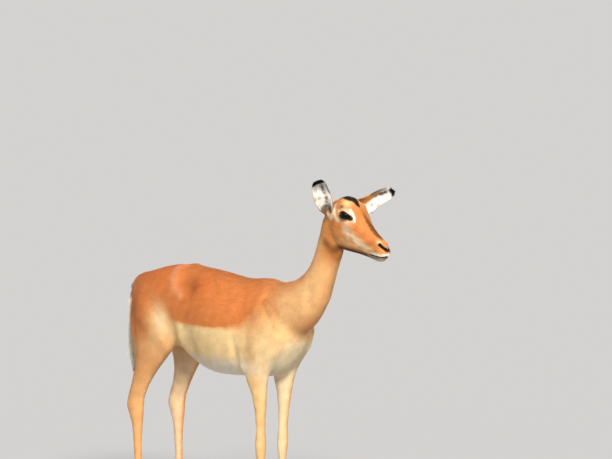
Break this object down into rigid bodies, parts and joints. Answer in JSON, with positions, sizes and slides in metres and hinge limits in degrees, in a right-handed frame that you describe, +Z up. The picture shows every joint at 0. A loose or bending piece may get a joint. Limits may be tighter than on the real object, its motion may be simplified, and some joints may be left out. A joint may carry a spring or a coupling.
{
  "type": "impala antelope ewe, life-size still model",
  "caption": "Life-size standing impala ewe without horns, head raised and turned slightly to its left, one ear forward and one ear out, tail hanging.",
  "frame": {"origin": "on the floor, under the middle of the whole animal's box", "axes": "+X toward the head, +Y toward the animal's left, +Z up"},
  "size_m": [1.0708, 0.2812, 1.1043],
  "materials": {
    "coat": "short flat hair, rufous on the back, tan on the flank and white below",
    "ear_coat": "short hair, pale inside and black at the tip",
    "tail_coat": "longer hair, pale with a dark stripe down the back",
    "horn": "satin black hoof horn with fine growth lines",
    "eye": "wet, very dark brown"
  },
  "bodies": {
    "root": {"head": "coat", "neck": "coat", "trunk": "coat", "tail": "tail_coat", "ear_left": "ear_coat", "ear_right": "ear_coat", "eye_left": "eye", "eye_right": "eye", "leg_front_left": "coat", "leg_front_right": "coat", "leg_hind_left": "coat", "leg_hind_right": "coat", "hoof_front_left_inner": "horn", "hoof_front_left_outer": "horn", "hoof_front_right_inner": "horn", "hoof_front_right_outer": "horn", "hoof_hind_left_inner": "horn", "hoof_hind_left_outer": "horn", "hoof_hind_right_inner": "horn", "hoof_hind_right_outer": "horn"}
  },
  "joints": []
}
